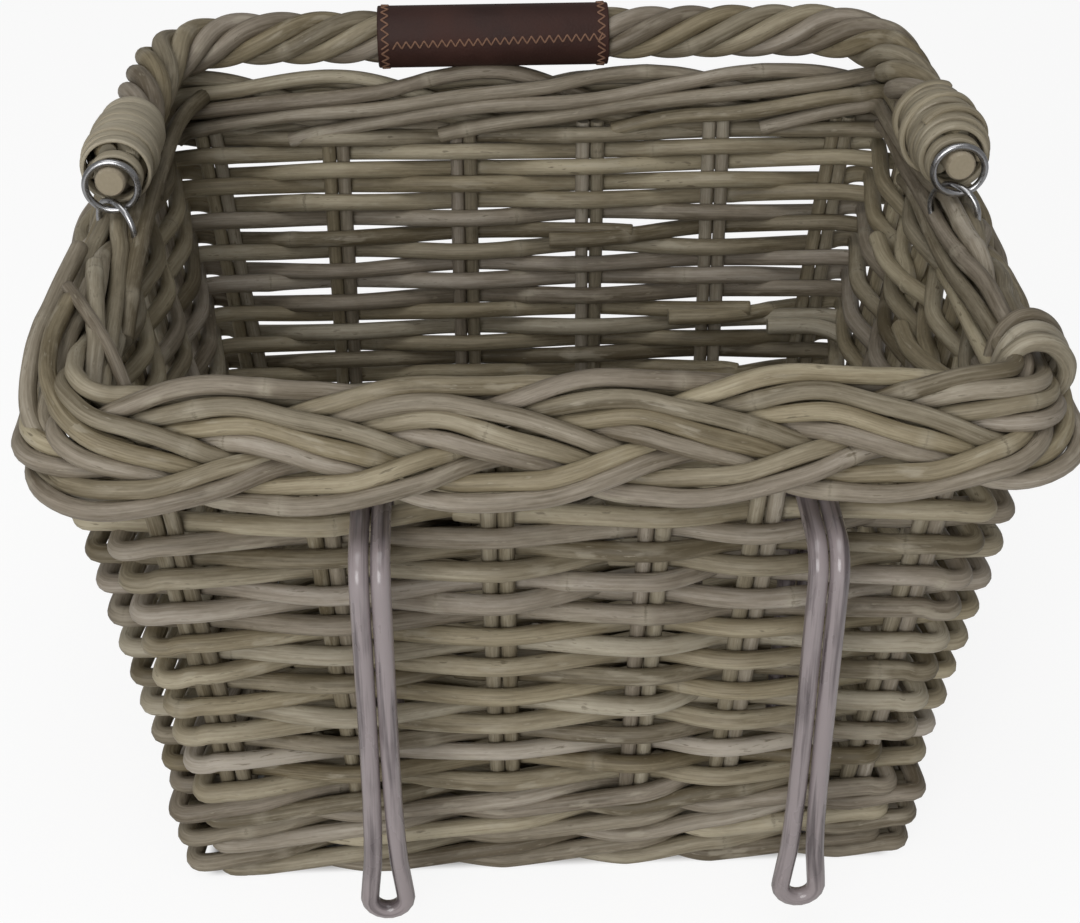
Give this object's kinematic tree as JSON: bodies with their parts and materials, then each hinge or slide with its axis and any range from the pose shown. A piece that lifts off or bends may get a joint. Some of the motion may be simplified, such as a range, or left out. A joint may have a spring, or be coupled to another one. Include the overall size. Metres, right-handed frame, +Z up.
{
  "type": "bicycle basket",
  "caption": "Woven rattan bicycle basket with a plaited rim, a swinging twisted handle with a leather grip, and coated hooks that hang over a handlebar.",
  "frame": {"origin": "on the floor under the middle of the base, on the underside of its woven rod", "axes": "+X along the wide hook wall to the right, +Y from the hook wall to the back wall, +Z up"},
  "size_m": [0.3988, 0.3296, 0.2909],
  "materials": {
    "rattan": "matte natural rattan",
    "cane": "satin cane",
    "leather": "dark satin",
    "ring_steel": "plain wire",
    "hook_coating": "gloss"
  },
  "bodies": {
    "basket": {"stake_pair_front_1": "rattan", "stake_pair_front_2": "rattan", "stake_pair_front_3": "rattan", "stake_pair_front_4": "rattan", "stake_pair_front_5": "rattan", "stake_pair_front_6": "rattan", "stake_pair_right_1": "rattan", "stake_pair_right_2": "rattan", "stake_pair_right_3": "rattan", "stake_pair_right_4": "rattan", "stake_pair_back_1": "rattan", "stake_pair_back_2": "rattan", "stake_pair_back_3": "rattan", "stake_pair_back_4": "rattan", "stake_pair_back_5": "rattan", "stake_pair_back_6": "rattan", "stake_pair_left_1": "rattan", "stake_pair_left_2": "rattan", "stake_pair_left_3": "rattan", "stake_pair_left_4": "rattan", "foot_rod_01": "rattan", "foot_rod_02": "rattan", "weaving_rod_01": "rattan", "weaving_rod_02": "rattan", "weaving_rod_03": "rattan", "weaving_rod_04": "rattan", "weaving_rod_05": "rattan", "weaving_rod_06": "rattan", "weaving_rod_07": "rattan", "weaving_rod_08": "rattan", "weaving_rod_09": "rattan", "weaving_rod_10": "rattan", "weaving_rod_11": "rattan", "weaving_rod_12": "rattan", "weaving_rod_13": "rattan", "weaving_rod_14": "rattan", "weaving_rod_15": "rattan", "weaving_rod_16": "rattan", "weaving_rod_17": "rattan", "weaving_rod_18": "rattan", "weaving_rod_19": "rattan", "weaving_rod_20": "rattan", "base_frame": "rattan", "base_sticks": "rattan", "base_weaver": "rattan", "border_strand_1": "rattan", "border_strand_2": "rattan", "border_strand_3": "rattan", "border_inner_rod": "rattan", "hook_left": "hook_coating", "hook_right": "hook_coating", "rim_ring_left": "ring_steel", "rim_ring_right": "ring_steel"},
    "handle": {"handle_core": "rattan", "handle_twist": "rattan", "leather_sleeve": "leather", "handle_ring_left": "ring_steel", "handle_ring_right": "ring_steel", "binding_left": "cane", "binding_right": "cane"}
  },
  "joints": [
    {"name": "handle_swing", "type": "hinge", "parent": "basket", "child": "handle", "pos_m": [0, -0.006, 0.26264], "axis": [1, 0, 0], "range_deg": [0, 95]}
  ]
}
